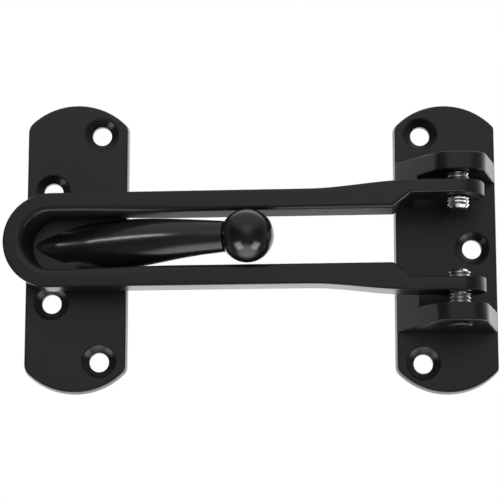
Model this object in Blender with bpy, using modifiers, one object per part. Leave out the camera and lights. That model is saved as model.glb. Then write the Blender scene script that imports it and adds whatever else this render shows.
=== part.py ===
"""Swing bar door guard, standing upright as it is fitted on a closed door.

X runs from the keeper on the door to the hinge plate on the frame, Z is up, and the wall is
behind at +Y. The origin is the centre of the hinge plate's back face. All sizes are metres.
"""
from math import atan2, cos, pi, radians, sin, sqrt, tan

import bmesh
import bpy
from mathutils import Vector

# Both plates share one outline: straight sides and arched ends.
PLATE_WIDTH = 0.0258
PLATE_HEIGHT = 0.075
PLATE_THICKNESS = 0.0032
PLATE_ARCH_RADIUS = 0.0173
PLATE_DRAFT = 0.0004
PLATE_EDGE = 0.00035
KEEPER_X = -0.0953

# Corner radii of each plate, as left and right.
HINGE_PLATE_CORNERS = (0.0026, 0.0014)
KEEPER_CORNERS = (0.0036, 0.0022)

# Countersunk holes, as X and Z from the centre of each plate.
HOLE_DIAMETER = 0.0050
COUNTERSINK_DIAMETER = 0.0086
COUNTERSINK_EDGE = 0.0004
HINGE_PLATE_HOLES = ((-0.0062, 0.0297), (0.0068, -0.0003), (-0.0062, -0.0301))
KEEPER_HOLES = ((0.0061, 0.0297), (-0.0063, 0.0146), (-0.0063, -0.0146), (0.0061, -0.0297))

# The hinge line, measured from the centre of the hinge plate's front face.
AXIS_X = 0.0018
AXIS_HEIGHT = 0.0132

# Lugs: two upright ears that carry the hinge screws. Seen from the side, a lug climbs a long
# slope on the left, turns over a round, runs level and drops down a steep slope on the right.
LUG_INNER = 0.0168
LUG_OUTER = 0.0222
LUG_DRAFT = 0.0009
LUG_TOP = 0.0181
LUG_EDGE = 0.00040
LUG_LEFT_SLOPE = radians(60.9)
LUG_LEFT_ROUND = 0.0049
LUG_LEFT_ROUND_X = 0.0000
LUG_RIGHT_SLOPE = radians(75.0)
LUG_RIGHT_ROUND = 0.0050
LUG_RIGHT_ROUND_X = 0.0041

# Stops: blocks inside the lugs that carry the same left slope under each arm of the bar.
STOP_INNER = 0.0124
STOP_RIGHT = -0.0079
STOP_EDGE = 0.0003

# How far a lug, stop or spigot reaches into the body that it joins.
SINK = 0.0012

# Swing bar: a flat U on edge, with a narrow slot that opens into a wide mouth at the hinge.
BAR_REACH = 0.1150
BAR_HALF_WIDTH = 0.01215
BAR_FRONT = 0.0065
BAR_BACK = -0.0028
BAR_SLOPE = radians(5.0)
BAR_DRAFT = 0.0003
BAR_EDGE = 0.0004
SLOT_REACH = 0.1089
SLOT_END_LEAN = 0.0013
SLOT_HALF_WIDTH = 0.00682
SLOT_END_HALF_WIDTH = 0.0074
SLOT_EDGE_RADIUS = 0.00105
SLOT_END_EDGE = 0.0014
MOUTH_HALF_WIDTH = 0.0105
MOUTH_START = 0.0163
MOUTH_FULL = 0.0118
MOUTH_START_ROUND = 0.0015
MOUTH_FULL_ROUND = 0.0020
EYE_HALF_WIDTH = 0.01395
EYE_RADIUS = 0.0066
FLARE_START = 0.0375
FLARE_END = 0.0115
EYE_HOLE_RADIUS = 0.0031

# The slot widens toward its closed end over this stretch, given at the back and at the front face.
SLOT_TAPER_BACK = (0.1000, 0.0720)
SLOT_TAPER_FRONT = (0.0900, 0.0600)

# Hinge screws: socket screws through the lugs, with their round ends inside the mouth. The upper
# one is screwed in a little further. Heights run outward from the middle of the guard.
SCREW_INNER_ENDS = {"upper": 0.0075, "lower": 0.0082}
SCREW_HEAD_FACES = {"upper": 0.0211, "lower": 0.0223}
SCREW_HEAD_RADIUS = 0.0030
SCREW_HEAD_HEIGHT = 0.0012
SCREW_RADIUS = 0.00280
SCREW_ROOT_RADIUS = 0.00245
SCREW_PITCH = 0.0009
SOCKET_ACROSS_FLATS = 0.0025
SOCKET_DEPTH = 0.0018
SCREW_CHAMFER = 0.0006
LUG_HOLE_RADIUS = 0.0029
LUG_HEAD_RADIUS = 0.0032

# Ball horn: distance from the keeper's centre, height over its face, and radius.
HORN_LINE = (
    (-0.0150, -0.00640, 0.00620),
    (-0.0094, -0.00622, 0.00640),
    (-0.0028, -0.00500, 0.00645),
    (0.0029, -0.0026, 0.00645),
    (0.0087, 0.0010, 0.00650),
    (0.0149, 0.0052, 0.00630),
    (0.0220, 0.0095, 0.00562),
    (0.0272, 0.0120, 0.00501),
    (0.0323, 0.0138, 0.00446),
    (0.0360, 0.0147, 0.00413),
    (0.0393, 0.0154, 0.00385),
)
HORN_SEAT_GAP = 0.0001
BALL_SEAT_GAP = 0.00004
HORN_STEPS = 40

# Horn screws from behind the keeper: X from the keeper's centre and depth in the horn.
HORN_SCREWS = ((0.0040, 0.0018), (0.0098, 0.0040))
HORN_SCREW_RADIUS = 0.0015
HORN_SCREW_HEAD_RADIUS = 0.0029
HORN_SCREW_RECESS = 0.0002
CROSS_HALF_LENGTH = 0.0013
CROSS_HALF_WIDTH = 0.0004
CROSS_DEPTH = 0.0012

BALL_RADIUS = 0.00675
BALL_X = 0.0440
BALL_HEIGHT = 0.0165
BALL_FLAT = 0.0010
SPIGOT_RADIUS = 0.0022
SPIGOT_REACH = 0.0030
SPIGOT_CHAMFER = 0.0003

# Clearances: the fit between close parts, the gap past a screw's end, and how far cutters overrun.
FIT = 0.00015
SCREW_END_GAP = 0.0004
PAST = 0.0020
MERGE = 0.00002
ROUND_STEPS = 48
SIDES = ((1, "upper"), (-1, "lower"))

AXIS_POINT = Vector((AXIS_X, -(PLATE_THICKNESS + AXIS_HEIGHT), 0.0))
KEEPER_CENTRE = Vector((KEEPER_X, 0.0, 0.0))
BALL_CENTRE = Vector((BALL_X, -(PLATE_THICKNESS + BALL_HEIGHT), 0.0))


# ---------------------------------------------------------------- helpers

def clear_file():
    for obj in list(bpy.data.objects):
        bpy.data.objects.remove(obj, do_unlink=True)


def new_collection(name):
    collection = bpy.data.collections.new(name)
    bpy.context.scene.collection.children.link(collection)
    return collection


def make_material(name, colour, roughness, metallic):
    material = bpy.data.materials.new(name)
    material.use_nodes = True
    shader = material.node_tree.nodes["Principled BSDF"]
    shader.inputs["Base Color"].default_value = (*colour, 1.0)
    shader.inputs["Roughness"].default_value = roughness
    shader.inputs["Metallic"].default_value = metallic
    material.diffuse_color = (*colour, 1.0)
    return material


def add_mesh(name, builder, material=None):
    """Makes an object from a bmesh. One without a material is a cutter or a body to be joined."""
    mesh = bpy.data.meshes.new(name)
    builder.to_mesh(mesh)
    builder.free()
    obj = bpy.data.objects.new(name, mesh)
    if material:
        parts.objects.link(obj)
        mesh.materials.append(material)
    else:
        cutters.objects.link(obj)
        obj.hide_render = True
        obj.display_type = "WIRE"
    return obj


def loft(name, rings, material=None):
    """A closed body through rings that all hold the same number of points."""
    builder = bmesh.new()
    loops = [[builder.verts.new(point) for point in ring] for ring in rings]
    count = len(loops[0])
    for near, far in zip(loops, loops[1:]):
        for i in range(count):
            j = (i + 1) % count
            builder.faces.new((near[i], near[j], far[j], far[i]))
    builder.faces.new(list(reversed(loops[0])))
    builder.faces.new(loops[-1])
    bmesh.ops.recalc_face_normals(builder, faces=builder.faces)
    return add_mesh(name, builder, material)


def lathe(name, profile, material=None, steps=ROUND_STEPS):
    """Radius and height pairs, listed from the top down, turned about the object's own Z."""
    builder = bmesh.new()
    points = [builder.verts.new((radius, 0.0, height)) for radius, height in profile]
    for upper, lower in zip(points, points[1:]):
        builder.edges.new((upper, lower))
    obj = add_mesh(name, builder, material)
    screw = obj.modifiers.new("Turn", "SCREW")
    screw.axis = "Z"
    screw.angle = 2.0 * pi
    screw.steps = steps
    screw.render_steps = steps
    screw.use_merge_vertices = True
    screw.merge_threshold = MERGE
    return obj


def bevel(obj, width, sharper_than=radians(50)):
    modifier = obj.modifiers.new("Edge", "BEVEL")
    modifier.width = width
    modifier.segments = 2
    modifier.limit_method = "ANGLE"
    modifier.angle_limit = sharper_than
    modifier.use_clamp_overlap = True


def boolean(obj, operation, other):
    modifier = obj.modifiers.new(operation.title(), "BOOLEAN")
    modifier.operation = operation
    modifier.solver = "EXACT"
    modifier.object = other


def smooth(obj, split_angle=radians(32)):
    """Smooth shading with crisp edges, decided from the finished shape."""
    obj.data.shade_smooth()
    modifier = obj.modifiers.new("Normals", "EDGE_SPLIT")
    modifier.split_angle = split_angle


def arc(centre, radius, start, end, steps):
    """Points along an arc, with its ends included. Angles are radians."""
    span = [start + (end - start) * i / steps for i in range(steps + 1)]
    return [(centre[0] + radius * cos(a), centre[1] + radius * sin(a)) for a in span]


def rounded_corner(corner, before, after, radius, steps=4):
    """Points of the arc that rounds a corner between two straight lines."""
    corner, before, after = Vector(corner), Vector(before), Vector(after)
    to_before = (before - corner).normalized()
    to_after = (after - corner).normalized()
    half_angle = to_before.angle(to_after) / 2
    centre = corner + (to_before + to_after).normalized() * radius / sin(half_angle)
    reach = radius * cos(half_angle) / sin(half_angle)
    first = corner + to_before * reach - centre
    last = corner + to_after * reach - centre
    start = atan2(first.y, first.x)
    turn = first.angle_signed(last)
    return arc(centre, radius, start, start - turn, steps)


def blend(from_value, to_value, share):
    """A smooth step between two values."""
    return from_value + (to_value - from_value) * share * share * (3.0 - 2.0 * share)


def point_along(obj, location, direction):
    """Turns the object's own Z to the direction."""
    obj.location = location
    obj.rotation_mode = "QUATERNION"
    obj.rotation_quaternion = direction.to_track_quat("Z", "Y")


def face_viewer(obj, location):
    """Turns the object's own Z to the front, which is -Y."""
    obj.location = location
    obj.rotation_euler = (pi / 2, 0.0, 0.0)


# ---------------------------------------------------------------- plates

def plate_quarter(corner_radius, grow):
    """The upper right quarter of a plate: a small corner arc, then half of the arched end."""
    arch_z = PLATE_HEIGHT / 2 - PLATE_ARCH_RADIUS
    corner_x = PLATE_WIDTH / 2 - corner_radius
    rise = sqrt((PLATE_ARCH_RADIUS - corner_radius) ** 2 - corner_x ** 2)
    turn = atan2(rise, corner_x)
    corner = arc((corner_x, arch_z + rise), corner_radius + grow, 0.0, turn, 5)
    arch = arc((0.0, arch_z), PLATE_ARCH_RADIUS + grow, turn, pi / 2, 10)
    return corner + arch[1:]


def plate_body(name, corners):
    """A plate whose sides lean in a little from the back face to the front."""
    left_corner, right_corner = corners
    rings = []
    for y, grow in ((0.0, PLATE_DRAFT), (-PLATE_THICKNESS, 0.0)):
        right = plate_quarter(right_corner, grow)
        left = [(-x, z) for x, z in plate_quarter(left_corner, grow)]
        top = right + list(reversed(left))[1:]
        bottom = [(x, -z) for x, z in reversed(top)]
        rings.append([(x, y, z) for x, z in top + bottom])
    plate = loft(name, rings, black)
    bevel(plate, PLATE_EDGE, sharper_than=radians(35))
    return plate


def cut_holes(plate, holes):
    """Countersunk screw holes with an eased rim, open at the front face of the plate."""
    cone = (COUNTERSINK_DIAMETER - HOLE_DIAMETER) / 2
    rim = COUNTERSINK_DIAMETER / 2
    profile = (
        (0.0, PAST),
        (rim + 1.5 * COUNTERSINK_EDGE, PAST),
        (rim + 1.5 * COUNTERSINK_EDGE, 0.15 * COUNTERSINK_EDGE),
        (rim + 0.35 * COUNTERSINK_EDGE, -0.12 * COUNTERSINK_EDGE),
        (rim - 0.5 * COUNTERSINK_EDGE, -0.5 * COUNTERSINK_EDGE),
        (HOLE_DIAMETER / 2, -cone),
        (HOLE_DIAMETER / 2, -PLATE_THICKNESS - PAST),
        (0.0, -PLATE_THICKNESS - PAST),
    )
    for number, (x, z) in enumerate(holes):
        cutter = lathe(f"{plate.name}_hole_cutter_{number}", profile, steps=32)
        cutter.parent = plate.parent
        face_viewer(cutter, (x, -PLATE_THICKNESS, z))
        boolean(plate, "DIFFERENCE", cutter)


def lug_foot():
    """X where the left slope of the lugs and stops meets the plate."""
    turn = pi / 2 + LUG_LEFT_SLOPE
    start_x = LUG_LEFT_ROUND_X + LUG_LEFT_ROUND * cos(turn)
    start_height = LUG_TOP - LUG_LEFT_ROUND + LUG_LEFT_ROUND * sin(turn)
    return start_x - start_height / tan(LUG_LEFT_SLOPE)


def lug_profile():
    """Side view of a lug as X and height over the plate."""
    left_turn = pi / 2 + LUG_LEFT_SLOPE
    right_turn = pi / 2 - LUG_RIGHT_SLOPE
    left_centre = (LUG_LEFT_ROUND_X, LUG_TOP - LUG_LEFT_ROUND)
    right_centre = (LUG_RIGHT_ROUND_X, LUG_TOP - LUG_RIGHT_ROUND)
    left = arc(left_centre, LUG_LEFT_ROUND, left_turn, pi / 2, 8)
    right = arc(right_centre, LUG_RIGHT_ROUND, pi / 2, right_turn, 8)
    right_x, right_height = right[-1]
    right_foot = right_x + right_height / tan(LUG_RIGHT_SLOPE)
    outline = [(lug_foot(), -SINK), (lug_foot(), 0.0)]
    outline += left + right
    outline += [(right_foot, 0.0), (right_foot, -SINK)]
    return outline


def lug_body(name, side):
    """One ear of the hinge plate. Its outer face leans in a little toward the top."""
    inner = []
    outer = []
    for x, height in lug_profile():
        y = -(PLATE_THICKNESS + height)
        lean = LUG_DRAFT * height / LUG_TOP
        inner.append((x, y, side * LUG_INNER))
        outer.append((x, y, side * (LUG_OUTER - lean)))
    body = loft(name, (inner, outer))
    bevel(body, LUG_EDGE)
    return body


def stop_body(name, side):
    """The stop inside a lug, flush with the lug's left slope."""
    foot = lug_foot()
    top = (STOP_RIGHT - foot) * tan(LUG_LEFT_SLOPE)
    outline = ((foot, -SINK), (foot, 0.0), (STOP_RIGHT, top), (STOP_RIGHT, -SINK))
    rings = []
    for z in (STOP_INNER, LUG_INNER + SINK):
        rings.append([(x, -(PLATE_THICKNESS + height), side * z) for x, height in outline])
    body = loft(name, rings)
    bevel(body, STOP_EDGE)
    return body


def cut_lug_hole(plate, side, word):
    """A stepped hole: wide for the screw's head at the outside of the lug, then clear of its core."""
    step = SCREW_HEAD_FACES[word] - SCREW_HEAD_HEIGHT - FIT
    profile = (
        (0.0, LUG_OUTER + PAST),
        (LUG_HEAD_RADIUS, LUG_OUTER + PAST),
        (LUG_HEAD_RADIUS, step),
        (LUG_HOLE_RADIUS, step),
        (LUG_HOLE_RADIUS, LUG_INNER - PAST),
        (0.0, LUG_INNER - PAST),
    )
    cutter = lathe(f"lug_hole_cutter_{word}", profile, steps=32)
    cutter.location = AXIS_POINT
    if side < 0:
        cutter.rotation_euler = (pi, 0.0, 0.0)
    boolean(plate, "DIFFERENCE", cutter)


def build_hinge_plate():
    plate = plate_body("hinge_plate", HINGE_PLATE_CORNERS)
    for side, word in SIDES:
        boolean(plate, "UNION", lug_body(f"lug_{word}", side))
        boolean(plate, "UNION", stop_body(f"stop_{word}", side))
    cut_holes(plate, HINGE_PLATE_HOLES)
    for side, word in SIDES:
        cut_lug_hole(plate, side, word)
    smooth(plate)


def build_keeper_plate(keeper):
    plate = plate_body("keeper_plate", KEEPER_CORNERS)
    plate.parent = keeper
    cut_holes(plate, KEEPER_HOLES)
    cone = HORN_SCREW_HEAD_RADIUS - HORN_SCREW_RADIUS
    profile = (
        (0.0, PLATE_THICKNESS + PAST),
        (HORN_SCREW_RADIUS + FIT, PLATE_THICKNESS + PAST),
        (HORN_SCREW_RADIUS + FIT, cone + FIT),
        (HORN_SCREW_HEAD_RADIUS + FIT + PAST, -PAST),
        (0.0, -PAST),
    )
    for number, (x, _) in enumerate(HORN_SCREWS):
        cutter = lathe(f"horn_screw_hole_cutter_{number}", profile, steps=24)
        cutter.parent = keeper
        face_viewer(cutter, (x, 0.0, 0.0))
        boolean(plate, "DIFFERENCE", cutter)
    smooth(plate)


# ---------------------------------------------------------------- swing bar

def bar_outline(shrink):
    """Outer plan of the swing bar: X is the distance from the hinge line, negative at the keeper."""
    half = BAR_HALF_WIDTH - shrink
    steps = 10
    upper = [(EYE_RADIUS + PAST, EYE_HALF_WIDTH)]
    for i in range(steps, -1, -1):
        share = i / steps
        x = -FLARE_START + (FLARE_START - FLARE_END) * share
        upper.append((x, blend(half, EYE_HALF_WIDTH, share)))
    end = arc((BAR_HALF_WIDTH - BAR_REACH, 0.0), half, pi / 2, 3 * pi / 2, 32)
    lower = [(x, -z) for x, z in reversed(upper)]
    return upper + end + lower


def slot_outline(y, share):
    """Plan of the slot and its wide mouth at one depth.

    The share runs from 0 inside to 1 at the front face. The closed end leans outward to the front.
    """
    half = SLOT_HALF_WIDTH + share * SLOT_EDGE_RADIUS
    end_half = SLOT_END_HALF_WIDTH + share * SLOT_END_EDGE
    mouth_grow = 0.5 * share * SLOT_EDGE_RADIUS
    mouth = MOUTH_HALF_WIDTH + mouth_grow
    taper_start, taper_end = [
        back + (front - back) * share for back, front in zip(SLOT_TAPER_BACK, SLOT_TAPER_FRONT)]
    start = (-MOUTH_START - mouth_grow, half)
    full = (-MOUTH_FULL - mouth_grow, mouth)
    past_eye = (EYE_RADIUS + 2 * PAST, mouth)
    steps = 5
    upper = []
    for i in range(steps + 1):
        x = -taper_start + (taper_start - taper_end) * i / steps
        upper.append((x, blend(end_half, half, i / steps)))
    upper += rounded_corner(start, upper[-1], full, MOUTH_START_ROUND)
    upper += rounded_corner(full, start, past_eye, MOUTH_FULL_ROUND)
    upper.append(past_eye)
    lower = [(x, -z) for x, z in reversed(upper)]
    forward = (-BAR_BACK - y) / (BAR_FRONT - BAR_BACK)
    end_centre = (SLOT_END_HALF_WIDTH - SLOT_REACH - SLOT_END_LEAN * forward, 0.0)
    end = arc(end_centre, end_half, 3 * pi / 2, pi / 2, 24)
    return upper + lower + end


def slot_cutter():
    """The slot runs through the bar and opens in a quarter round at the front face."""
    round_start = -(BAR_FRONT - SLOT_EDGE_RADIUS)
    steps = 5
    levels = [(-BAR_BACK + PAST, 0.0)]
    for i in range(steps + 1):
        turn = i * pi / (2 * steps)
        levels.append((round_start - SLOT_EDGE_RADIUS * sin(turn), 1.0 - cos(turn)))
    levels.append((-BAR_FRONT - PAST, 1.0))
    rings = [[(x, y, z) for x, z in slot_outline(y, share)] for y, share in levels]
    return loft("swing_bar_slot_cutter", rings)


def side_view_body():
    """Side view of the bar: level faces and a round end about the hinge line."""
    far = -(BAR_REACH + PAST)
    contact = -sqrt(EYE_RADIUS ** 2 - BAR_BACK ** 2)
    side = [(far, BAR_BACK), (far, BAR_FRONT)]
    side += arc((0.0, 0.0), EYE_RADIUS, pi / 2, atan2(BAR_BACK, contact), 32)
    half = EYE_HALF_WIDTH + PAST
    rings = [[(x, -height, z) for x, height in side] for z in (half, -half)]
    return loft("swing_bar_side_view", rings)


def build_swing_bar():
    """The bar is drawn level with its origin on the hinge line, then turned to its slope."""
    rings = []
    for y, shrink in ((-BAR_BACK + PAST, BAR_DRAFT), (-BAR_FRONT - PAST, 0.0)):
        rings.append([(x, y, z) for x, z in bar_outline(shrink)])
    bar = loft("swing_bar", rings, black)
    side_view = side_view_body()
    boolean(bar, "INTERSECT", side_view)
    bevel(bar, BAR_EDGE)
    slot = slot_cutter()
    boolean(bar, "DIFFERENCE", slot)
    reach = EYE_HALF_WIDTH + PAST
    profile = ((0.0, reach), (EYE_HOLE_RADIUS, reach), (EYE_HOLE_RADIUS, -reach), (0.0, -reach))
    hole = lathe("eye_hole_cutter", profile, steps=32)
    boolean(bar, "DIFFERENCE", hole)
    smooth(bar)
    for obj in (bar, side_view, slot, hole):
        obj.location = AXIS_POINT
        obj.rotation_euler = (0.0, 0.0, -BAR_SLOPE)


# ---------------------------------------------------------------- hinge screws

def thread_profile(top, bottom):
    """Ridges of a coarse thread between two heights, from the top down."""
    count = max(1, round((top - bottom) / SCREW_PITCH))
    pitch = (top - bottom) / count
    points = []
    for i in range(count):
        start = top - i * pitch
        points.append((SCREW_ROOT_RADIUS, start))
        points.append((SCREW_RADIUS, start - 0.35 * pitch))
        points.append((SCREW_RADIUS, start - 0.60 * pitch))
    points.append((SCREW_ROOT_RADIUS, bottom))
    return points


def build_hinge_screw(side, word):
    """A socket screw: round head in the lug, thread across the gap and a chamfered end."""
    end = SCREW_INNER_ENDS[word]
    face = SCREW_HEAD_FACES[word]
    profile = [
        (0.0, face),
        (SCREW_HEAD_RADIUS - SCREW_CHAMFER / 2, face),
        (SCREW_HEAD_RADIUS, face - SCREW_CHAMFER / 2),
        (SCREW_HEAD_RADIUS, face - SCREW_HEAD_HEIGHT),
        (SCREW_ROOT_RADIUS, face - SCREW_HEAD_HEIGHT),
    ]
    profile += thread_profile(LUG_INNER, EYE_HALF_WIDTH)
    profile += thread_profile(MOUTH_HALF_WIDTH, end + 2 * SCREW_CHAMFER)
    profile += [
        (SCREW_RADIUS, end + 2 * SCREW_CHAMFER - 0.35 * SCREW_PITCH),
        (SCREW_RADIUS, end + SCREW_CHAMFER),
        (SCREW_RADIUS - SCREW_CHAMFER, end),
        (0.0, end),
    ]
    screw = lathe(f"hinge_screw_{word}", profile, steel, steps=32)
    socket_radius = SOCKET_ACROSS_FLATS / sqrt(3)
    socket_profile = (
        (0.0, face + PAST),
        (socket_radius, face + PAST),
        (socket_radius, face - SOCKET_DEPTH),
        (0.0, face - SOCKET_DEPTH - socket_radius / 3),
    )
    socket = lathe(f"hex_socket_{word}", socket_profile, steps=6)
    boolean(screw, "DIFFERENCE", socket)
    smooth(screw)
    for obj in (screw, socket):
        obj.location = AXIS_POINT
        if side < 0:
            obj.rotation_euler = (pi, 0.0, 0.0)


# ---------------------------------------------------------------- ball horn

def smooth_line(points, steps):
    """Points along a smooth line that passes through every given point."""
    padded = [points[0]] + list(points) + [points[-1]]
    line = []
    for quad in zip(padded, padded[1:], padded[2:], padded[3:]):
        line += [through(quad, i / steps) for i in range(steps)]
    line.append(tuple(points[-1]))
    return line


def through(quad, t):
    """The point at t between the second and third of four points, on a Catmull-Rom curve."""
    point = []
    for p, q, r, s in zip(*quad):
        linear = (r - p) * t
        square = (2 * p - 5 * q + 4 * r - s) * t ** 2
        cube = (3 * q - p - 3 * r + s) * t ** 3
        point.append(0.5 * (2 * q + linear + square + cube))
    return tuple(point)


def horn_ring(x, height, radius, along):
    """One round section of the horn, square to its centre line."""
    centre = Vector((x, -(PLATE_THICKNESS + height), 0.0))
    outward = Vector((-along.y, -along.x, 0.0))
    ring = []
    for i in range(HORN_STEPS):
        turn = 2 * pi * i / HORN_STEPS
        ring.append(centre + outward * radius * cos(turn) + Vector((0.0, 0.0, radius * sin(turn))))
    return ring


def horn_rings():
    line = smooth_line(HORN_LINE, 4)
    rings = []
    for i, (x, height, radius) in enumerate(line):
        before = line[max(i - 1, 0)]
        after = line[min(i + 1, len(line) - 1)]
        along = Vector((after[0] - before[0], after[1] - before[1])).normalized()
        rings.append(horn_ring(x, height, radius, along))
    return rings


def ball_direction():
    """Direction from the end of the horn to the centre of the ball."""
    x, height, _ = HORN_LINE[-1]
    neck = Vector((x, -(PLATE_THICKNESS + height), 0.0))
    return (BALL_CENTRE - neck).normalized()


def build_ball_horn(keeper):
    """A round horn that grows out of a leaf-shaped foot and carries a spigot for the ball."""
    horn = loft("ball_horn", horn_rings(), black_gloss)
    helpers = []

    seat_y = -(PLATE_THICKNESS + HORN_SEAT_GAP)
    half = PLATE_WIDTH
    square = ((-half, -half), (half, -half), (half, half), (-half, half))
    rings = [[(x, y, z) for x, z in square] for y in (PLATE_WIDTH, seat_y)]
    helpers.append((loft("horn_seat_cutter", rings), "DIFFERENCE"))

    direction = ball_direction()
    seat = BALL_CENTRE - direction * (BALL_RADIUS - BALL_FLAT)
    wide = 2 * BALL_RADIUS
    profile = ((0.0, wide), (wide, wide), (wide, 0.0), (0.0, 0.0))
    face = lathe("ball_seat_cutter", profile, steps=32)
    point_along(face, seat - direction * BALL_SEAT_GAP, direction)
    helpers.append((face, "DIFFERENCE"))

    profile = (
        (0.0, SPIGOT_REACH),
        (SPIGOT_RADIUS - SPIGOT_CHAMFER, SPIGOT_REACH),
        (SPIGOT_RADIUS, SPIGOT_REACH - SPIGOT_CHAMFER),
        (SPIGOT_RADIUS, -SINK),
        (0.0, -SINK),
    )
    spigot = lathe("horn_spigot", profile, steps=24)
    point_along(spigot, seat, direction)
    helpers.append((spigot, "UNION"))

    for number, (x, depth) in enumerate(HORN_SCREWS):
        bore_top = PLATE_THICKNESS + depth + SCREW_END_GAP
        bore_radius = HORN_SCREW_RADIUS + FIT
        profile = ((0.0, bore_top), (bore_radius, bore_top), (bore_radius, -PAST), (0.0, -PAST))
        bore = lathe(f"horn_bore_cutter_{number}", profile, steps=24)
        face_viewer(bore, (x, 0.0, 0.0))
        helpers.append((bore, "DIFFERENCE"))

    for helper, operation in helpers:
        helper.parent = keeper
        boolean(horn, operation, helper)
    horn.parent = keeper
    smooth(horn, split_angle=radians(40))


def build_ball(keeper):
    """The ball, bored and faced to sit on the horn's spigot."""
    flat = BALL_RADIUS - BALL_FLAT
    rim = sqrt(BALL_RADIUS ** 2 - flat ** 2)
    bore_radius = SPIGOT_RADIUS + FIT
    bore_floor = -flat + SPIGOT_REACH + SCREW_END_GAP
    profile = [(0.0, BALL_RADIUS)]
    profile += arc((0.0, 0.0), BALL_RADIUS, pi / 2, atan2(-flat, rim), 28)[1:]
    profile += [(bore_radius, -flat), (bore_radius, bore_floor), (0.0, bore_floor)]
    ball = lathe("ball_knob", profile, black_gloss, steps=ROUND_STEPS)
    ball.parent = keeper
    point_along(ball, BALL_CENTRE, ball_direction())
    smooth(ball, split_angle=radians(40))


def build_horn_screw(keeper, number, x, depth):
    """A countersunk screw that holds the horn from behind the keeper plate."""
    cone = HORN_SCREW_HEAD_RADIUS - HORN_SCREW_RADIUS
    top = PLATE_THICKNESS + depth
    profile = (
        (0.0, top),
        (HORN_SCREW_RADIUS - SPIGOT_CHAMFER, top),
        (HORN_SCREW_RADIUS, top - SPIGOT_CHAMFER),
        (HORN_SCREW_RADIUS, cone + HORN_SCREW_RECESS),
        (HORN_SCREW_HEAD_RADIUS, HORN_SCREW_RECESS),
        (0.0, HORN_SCREW_RECESS),
    )
    screw = lathe(f"horn_screw_{number}", profile, steel, steps=24)
    long, wide = CROSS_HALF_LENGTH, CROSS_HALF_WIDTH
    cross = []
    for quarter in range(4):
        turn = quarter * pi / 2
        for a, b in ((long, -wide), (long, wide), (wide, wide)):
            cross.append((a * cos(turn) - b * sin(turn), a * sin(turn) + b * cos(turn)))
    rings = [[(a, b, z) for a, b in cross] for z in (-PAST, HORN_SCREW_RECESS + CROSS_DEPTH)]
    recess = loft(f"cross_recess_{number}", rings)
    boolean(screw, "DIFFERENCE", recess)
    smooth(screw)
    for obj in (screw, recess):
        obj.parent = keeper
        face_viewer(obj, (x, 0.0, 0.0))


clear_file()
parts = new_collection("door_chain_guard")
cutters = new_collection("cutters")
black = make_material("black_coating", (0.022, 0.022, 0.023), 0.38, 0.0)
black_gloss = make_material("black_horn_coating", (0.018, 0.018, 0.019), 0.25, 0.0)
steel = make_material("bright_steel", (0.62, 0.62, 0.62), 0.25, 1.0)

keeper_base = bpy.data.objects.new("keeper_base", None)
keeper_base.location = KEEPER_CENTRE
parts.objects.link(keeper_base)

build_hinge_plate()
build_swing_bar()
for screw_side, side_word in SIDES:
    build_hinge_screw(screw_side, side_word)
build_keeper_plate(keeper_base)
build_ball_horn(keeper_base)
build_ball(keeper_base)
for screw_number, (screw_x, screw_depth) in enumerate(HORN_SCREWS, start=1):
    build_horn_screw(keeper_base, screw_number, screw_x, screw_depth)
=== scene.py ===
"""Looks for the swing bar door guard: coatings, bright hinge screws, studio light and camera."""
from math import cos, radians, sin

import bpy
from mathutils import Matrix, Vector


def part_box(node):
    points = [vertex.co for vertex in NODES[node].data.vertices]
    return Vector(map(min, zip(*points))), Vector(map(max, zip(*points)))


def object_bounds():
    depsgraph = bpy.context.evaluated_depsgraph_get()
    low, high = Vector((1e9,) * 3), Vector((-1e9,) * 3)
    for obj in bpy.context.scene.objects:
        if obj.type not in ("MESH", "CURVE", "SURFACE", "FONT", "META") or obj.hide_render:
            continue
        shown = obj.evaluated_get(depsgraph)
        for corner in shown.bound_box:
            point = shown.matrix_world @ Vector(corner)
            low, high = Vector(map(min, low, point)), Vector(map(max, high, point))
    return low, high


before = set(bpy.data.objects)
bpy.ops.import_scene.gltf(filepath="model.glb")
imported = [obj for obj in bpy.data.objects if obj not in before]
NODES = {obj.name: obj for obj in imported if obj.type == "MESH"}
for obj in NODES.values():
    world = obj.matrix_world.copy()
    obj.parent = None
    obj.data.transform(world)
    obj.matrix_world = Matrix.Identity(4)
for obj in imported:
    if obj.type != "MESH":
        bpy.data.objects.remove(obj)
CAD_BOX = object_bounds()

HORN_AND_BALL = ("ball_horn", "ball_knob")

# The front faces of both plates lie in this plane. The wall is at Y = 0.
PLATE_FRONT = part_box("keeper_plate")[0][1]

# Camera: below the middle of the guard and looking up at it, with a long lens.
AIM = Vector((-0.05059, PLATE_FRONT, -0.00075))
CAMERA_DISTANCE = 0.482
CAMERA_ELEVATION = -10.0
CAMERA_LENS = 134.6
SENSOR = 36.0

# Walls of the bar's slot: how near the middle they lie, and how far back from the hinge line. The
# bar slopes toward the wall by this angle.
BAR_SLOPE = radians(5.0)
HINGE_LINE = (0.0018, -0.0164, 0.0)
SLOT_WALLS_WITHIN = 0.0078
SLOT_WALLS_BEHIND = -0.0060

# The heads of the hinge screws, inside the outer half of each lug, are black from this height.
SCREW_HEADS_FROM = 0.0196
HEAD_BLACK = (0.02, 0.02, 0.021)

# Smooth shading: triangles are welded, then split where they meet at more than these angles.
WELD_REACH = 0.000001
CRISP = radians(32)
CRISP_ROUND = radians(40)

# Worn edges: how far from an edge the wear reaches, and how well the rounded and the true normal
# agree where wear starts and where it is full.
EDGE_REACH = 0.0004
EDGE_SAMPLES = 6
WEAR_STARTS = 0.98
WEAR_FULL = 0.80
WEAR_STRENGTH = 0.35

# The range that most noise values lie in.
NOISE_LOW = 0.3
NOISE_HIGH = 0.7

# The depth of the turning marks on the screws.
TURNING_DEPTH = 0.000004

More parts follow.
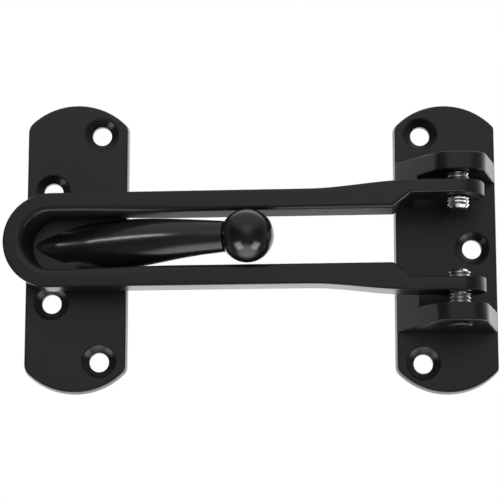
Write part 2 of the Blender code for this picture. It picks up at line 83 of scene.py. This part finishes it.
FLOOR_DROP = 0.20
FLOOR_SIZE = 6.0
WHITE = (1.0, 1.0, 1.0, 1.0)

# The studio around the guard, as soft patches of light: azimuth, elevation, the angle from the
# middle where the patch is full, the angle where it ends, and its strength. Negative patches are
# dark screens. Azimuth 0 is the camera's side and 90 is the right.
PATCHES = (
    (170, 10, 45, 72, 1.52),
    (105, 8, 10, 45, 0.20),
    (-122, 8, 12, 36, 0.07),
    (0, 62, 40, 60, 0.36),
    (0, 14, 10, 27, 0.38),
    (0, -85, 15, 42, 2.2),
    (-60, 8, 15, 40, -0.12),
    (50, 8, 12, 36, -0.08),
)
STUDIO_BASE = 0.19

# Area lights: azimuth, elevation, distance, width and height, and power. A pair stands left and
# right of the guard at the same azimuth.
HORN_KEY = (-57, 17, 1.0, (0.60, 0.07), 2.1)
BALL_PAIR = (53, -48, 0.9, (0.45, 0.45), 3.4)
LOW_PAIR = (80, -38, 0.9, (0.55, 0.45), 5.0)


# ---------------------------------------------------------------- node helpers

class Tree:
    """Short calls for adding and joining shader nodes."""

    def __init__(self, material_or_world):
        material_or_world.use_nodes = True
        self.tree = material_or_world.node_tree
        self.tree.nodes.clear()

    def node(self, kind, values=None, **settings):
        made = self.tree.nodes.new(kind)
        for name, value in settings.items():
            setattr(made, name, value)
        for socket, value in (values or {}).items():
            self.feed(made, socket, value)
        return made

    def feed(self, node, socket, value):
        """A number or colour is set on the socket, and another node's output is linked to it."""
        target = node.inputs[socket]
        if isinstance(value, bpy.types.NodeSocket):
            self.tree.links.new(value, target)
        else:
            target.default_value = value

    def finish(self, kind, surface):
        output = self.node(kind)
        self.feed(output, "Surface", surface)

    def noise(self, vector, scale, detail=3.0, roughness=0.55):
        made = self.node("ShaderNodeTexNoise", {
            "Vector": vector, "Scale": scale, "Detail": detail, "Roughness": roughness})
        return made.outputs["Fac"]

    def remap(self, value, low, high, to_low, to_high):
        made = self.node("ShaderNodeMapRange", {
            "Value": value, "From Min": low, "From Max": high, "To Min": to_low, "To Max": to_high})
        return made.outputs["Result"]

    def math(self, operation, a, b=0.0):
        made = self.node("ShaderNodeMath", {0: a, 1: b}, operation=operation)
        return made.outputs["Value"]

    def vector(self, operation, a, b):
        """The dot product is a number, and every other operation gives a vector."""
        made = self.node("ShaderNodeVectorMath", {0: a, 1: b}, operation=operation)
        return made.outputs["Value" if operation == "DOT_PRODUCT" else "Vector"]

    def mix(self, factor, a, b):
        """Mixes two colours, which are plain colours or the outputs of other nodes."""
        made = self.node("ShaderNodeMix", {"Factor": factor}, data_type="RGBA")
        colour_inputs = [socket for socket in made.inputs if socket.type == "RGBA"]
        for socket, value in zip(colour_inputs, (a, b)):
            if isinstance(value, bpy.types.NodeSocket):
                self.tree.links.new(value, socket)
            else:
                socket.default_value = (*value, 1.0)
        return next(socket for socket in made.outputs if socket.type == "RGBA")

    def bump(self, height, distance):
        return self.node("ShaderNodeBump", {"Height": height, "Distance": distance}).outputs["Normal"]

    def object_coordinates(self):
        return self.node("ShaderNodeTexCoord").outputs["Object"]

    def split(self, vector):
        return self.node("ShaderNodeSeparateXYZ", {"Vector": vector}).outputs


def scaled(colour, factor):
    return tuple(factor * channel for channel in colour)


# ---------------------------------------------------------------- materials

def edge_mask(tree):
    """Near 1 on outer edges and 0 on flats, from how far a rounded normal leans from the true one."""
    rounded = tree.node("ShaderNodeBevel", {"Radius": EDGE_REACH}, samples=EDGE_SAMPLES)
    true_normal = tree.node("ShaderNodeNewGeometry").outputs["Normal"]
    agreement = tree.vector("DOT_PRODUCT", rounded.outputs["Normal"], true_normal)
    return tree.remap(agreement, WEAR_STARTS, WEAR_FULL, 0.0, 1.0)


def slot_mask(tree, where):
    """1 on the walls of the bar's slot and 0 on its front face and outer sides."""
    height = tree.math("ABSOLUTE", tree.split(where)["Z"])
    across = tree.math("LESS_THAN", height, SLOT_WALLS_WITHIN)
    from_hinge = tree.vector("SUBTRACT", where, HINGE_LINE)
    depth = tree.vector("DOT_PRODUCT", from_hinge, (sin(BAR_SLOPE), cos(BAR_SLOPE), 0.0))
    behind = tree.math("GREATER_THAN", depth, SLOT_WALLS_BEHIND)
    return tree.math("MULTIPLY", across, behind)


def coated_metal(name, colour, rough, orange_peel, ior, rough_slot=0.0):
    """Satin black coating on a casting: a little orange peel, fine dust and slightly worn edges."""
    material = bpy.data.materials.new(name)
    tree = Tree(material)
    where = tree.object_coordinates()
    cloud = tree.noise(where, 55.0, detail=4.0)
    speck = tree.noise(where, 2600.0, detail=2.0)
    clouding = tree.remap(cloud, NOISE_LOW, NOISE_HIGH, 0.0, 1.0)
    shade = tree.mix(clouding, scaled(colour, 0.88), scaled(colour, 1.12))
    wear = tree.math("MULTIPLY", edge_mask(tree), WEAR_STRENGTH)
    worn = tree.mix(wear, shade, scaled(colour, 2.0))
    roughness = tree.math(
        "ADD",
        tree.remap(cloud, NOISE_LOW, NOISE_HIGH, rough - 0.02, rough + 0.03),
        tree.remap(speck, NOISE_LOW, NOISE_HIGH, -0.02, 0.02))
    if rough_slot:
        extra = tree.math("MULTIPLY", slot_mask(tree, where), rough_slot)
        roughness = tree.math("ADD", roughness, extra)
    peel = tree.noise(where, 900.0, detail=2.0, roughness=0.45)
    grain = tree.noise(where, 4200.0, detail=2.0)
    height = tree.math("ADD", peel, tree.math("MULTIPLY", grain, 0.35))
    shader = tree.node("ShaderNodeBsdfPrincipled", {
        "Base Color": worn, "Roughness": roughness, "Metallic": 0.0,
        "IOR": ior, "Normal": tree.bump(height, orange_peel)})
    tree.finish("ShaderNodeOutputMaterial", shader.outputs["BSDF"])
    return material


def screw_steel(name, bright, dull, rough, black_heads):
    """Plated steel with turning marks and a faint stain. The heads can be black."""
    material = bpy.data.materials.new(name)
    tree = Tree(material)
    where = tree.object_coordinates()
    stain = tree.noise(where, 700.0, detail=4.0)
    turning = tree.node("ShaderNodeTexWave", {
        "Vector": where, "Scale": 1500.0, "Distortion": 1.5, "Detail": 2.0},
        wave_type="BANDS", bands_direction="Z").outputs["Fac"]
    colour = tree.mix(tree.remap(stain, 0.35, 0.7, 0.0, 1.0), bright, dull)
    roughness = tree.remap(stain, NOISE_LOW, NOISE_HIGH, rough, rough + 0.10)
    metallic = 1.0
    if black_heads:
        height = tree.math("ABSOLUTE", tree.split(where)["Z"])
        head = tree.remap(height, SCREW_HEADS_FROM - 0.0001, SCREW_HEADS_FROM + 0.0001, 0.0, 1.0)
        colour = tree.mix(head, colour, HEAD_BLACK)
        roughness = tree.math("ADD", roughness, tree.math("MULTIPLY", head, 0.25))
        metallic = tree.math("SUBTRACT", 1.0, head)
    shader = tree.node("ShaderNodeBsdfPrincipled", {
        "Base Color": colour, "Roughness": roughness, "Metallic": metallic,
        "Normal": tree.bump(turning, TURNING_DEPTH)})
    tree.finish("ShaderNodeOutputMaterial", shader.outputs["BSDF"])
    return material


def pale_floor():
    material = bpy.data.materials.new("pale_floor")
    tree = Tree(material)
    grain = tree.noise(tree.object_coordinates(), 40.0)
    clouding = tree.remap(grain, NOISE_LOW, NOISE_HIGH, 0.0, 1.0)
    shade = tree.mix(clouding, (0.815, 0.815, 0.815), (0.825, 0.825, 0.825))
    shader = tree.node("ShaderNodeBsdfPrincipled", {"Base Color": shade, "Roughness": 0.8})
    tree.finish("ShaderNodeOutputMaterial", shader.outputs["BSDF"])
    return material


# ---------------------------------------------------------------- pieces

def smooth_cad(obj, split_angle):
    """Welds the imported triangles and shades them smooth, with crisp edges past the split angle."""
    weld = obj.modifiers.new("Weld", "WELD")
    weld.merge_threshold = WELD_REACH
    split = obj.modifiers.new("Crisp edges", "EDGE_SPLIT")
    split.split_angle = split_angle
    normals = obj.modifiers.new("Smooth", "WEIGHTED_NORMAL")
    normals.mode = "FACE_AREA"
    normals.weight = 50


def dress(nodes, material, split_angle=CRISP):
    """Gives CAD nodes a material through their own slots, and smooth shading."""
    for node in nodes:
        obj = NODES[node]
        smooth_cad(obj, split_angle)
        for slot in obj.material_slots:
            slot.link = "OBJECT"
            slot.material = material


def dress_cad():
    plates = coated_metal("satin_black", (0.017, 0.017, 0.0174), 0.36, 0.000015, 1.5)
    bar = coated_metal("satin_black_bar", (0.018, 0.018, 0.0184), 0.32, 0.000015, 1.5, rough_slot=0.35)
    smooth = coated_metal("smooth_black", (0.016, 0.016, 0.0163), 0.21, 0.000004, 1.55)
    steel = screw_steel("hinge_screw_steel", (0.78, 0.78, 0.77), (0.52, 0.52, 0.51), 0.10, True)
    zinc = screw_steel("horn_screw_zinc", (0.34, 0.34, 0.33), (0.24, 0.24, 0.23), 0.30, False)
    dress(("hinge_plate", "keeper_plate"), plates)
    dress(("swing_bar",), bar)
    dress(HORN_AND_BALL, smooth, CRISP_ROUND)
    dress(("hinge_screw_upper", "hinge_screw_lower"), steel)
    dress(("horn_screw_1", "horn_screw_2"), zinc)


# ---------------------------------------------------------------- stage, light, camera

def add_floor():
    """A pale floor well below the guard. It shows in pictures but not in the guard's reflections."""
    mesh = bpy.data.meshes.new("floor")
    half = FLOOR_SIZE / 2
    z = CAD_BOX[0][2] - FLOOR_DROP
    corners = [(x, y, z) for x, y in ((-half, -half), (half, -half), (half, half), (-half, half))]
    mesh.from_pydata(corners, [], [(0, 1, 2, 3)])
    mesh.materials.append(pale_floor())
    floor = bpy.data.objects.new("floor", mesh)
    bpy.context.scene.collection.objects.link(floor)
    floor.visible_glossy = False
    floor.visible_diffuse = False


def direction(azimuth, elevation):
    """Azimuth 0 points at the camera's side (-Y) and 90 to the right (+X)."""
    a, e = radians(azimuth), radians(elevation)
    return Vector((sin(a) * cos(e), -cos(a) * cos(e), sin(e)))


def place(name, data, azimuth, elevation, distance):
    """Puts a light or camera at a direction from the middle of the guard and turns it to face it."""
    obj = bpy.data.objects.new(name, data)
    toward = direction(azimuth, elevation)
    obj.location = AIM + toward * distance
    obj.rotation_euler = (-toward).to_track_quat("-Z", "Y").to_euler()
    bpy.context.scene.collection.objects.link(obj)
    return obj


def softbox(name, azimuth, elevation, distance, size, power, pieces):
    """An area light that lights only the given pieces. Size is width and height."""
    light = bpy.data.lights.new(name, "AREA")
    light.shape = "RECTANGLE"
    light.size, light.size_y = size
    light.energy = power
    obj = place(name, light, azimuth, elevation, distance)
    obj.visible_camera = False
    lit = bpy.data.collections.new(name + "_pieces")
    for piece in pieces:
        lit.objects.link(NODES[piece])
    obj.light_linking.receiver_collection = lit


def add_lights():
    """A thin light for the streak along the horn, a pair for the ball and a low pair for the rest."""
    others = [node for node in NODES if node not in HORN_AND_BALL]
    softbox("horn_key", *HORN_KEY, ["ball_horn"])
    pairs = (("ball", BALL_PAIR, ["ball_knob"]), ("low", LOW_PAIR, others))
    for side, sign in (("left", -1), ("right", 1)):
        for name, (azimuth, *rest), pieces in pairs:
            softbox(f"{name}_{side}", sign * azimuth, *rest, pieces)


def patch(tree, sky, azimuth, elevation, full, end, strength):
    """A soft round patch of light on the sky."""
    fade = tree.node("ShaderNodeMapRange", {
        "Value": tree.vector("DOT_PRODUCT", sky, direction(azimuth, elevation)),
        "From Min": cos(radians(end)), "From Max": cos(radians(full)),
        "To Min": 0.0, "To Max": strength}, interpolation_type="SMOOTHSTEP")
    return fade.outputs["Result"]


def add_world():
    """White to the camera. The guard itself is lit by the patches."""
    world = bpy.data.worlds.new("studio")
    bpy.context.scene.world = world
    tree = Tree(world)
    sky = tree.node("ShaderNodeTexCoord").outputs["Generated"]
    level = STUDIO_BASE
    for values in PATCHES:
        level = tree.math("ADD", patch(tree, sky, *values), level)
    around = tree.node("ShaderNodeBackground", {"Color": WHITE, "Strength": level})
    seen = tree.node("ShaderNodeBackground", {"Color": WHITE, "Strength": 1.0})
    ray = tree.node("ShaderNodeLightPath").outputs["Is Camera Ray"]
    both = tree.node("ShaderNodeMixShader", {
        0: ray, 1: around.outputs["Background"], 2: seen.outputs["Background"]})
    tree.finish("ShaderNodeOutputWorld", both.outputs["Shader"])


def add_camera():
    data = bpy.data.cameras.new("camera")
    data.sensor_width = SENSOR
    data.lens = CAMERA_LENS
    bpy.context.scene.camera = place("camera", data, 0.0, CAMERA_ELEVATION, CAMERA_DISTANCE)


def set_view():
    """Plain colours, so that white stays white."""
    view = bpy.context.scene.view_settings
    view.view_transform = "Standard"
    view.look = "None"


dress_cad()
add_floor()
add_world()
add_lights()
add_camera()
set_view()
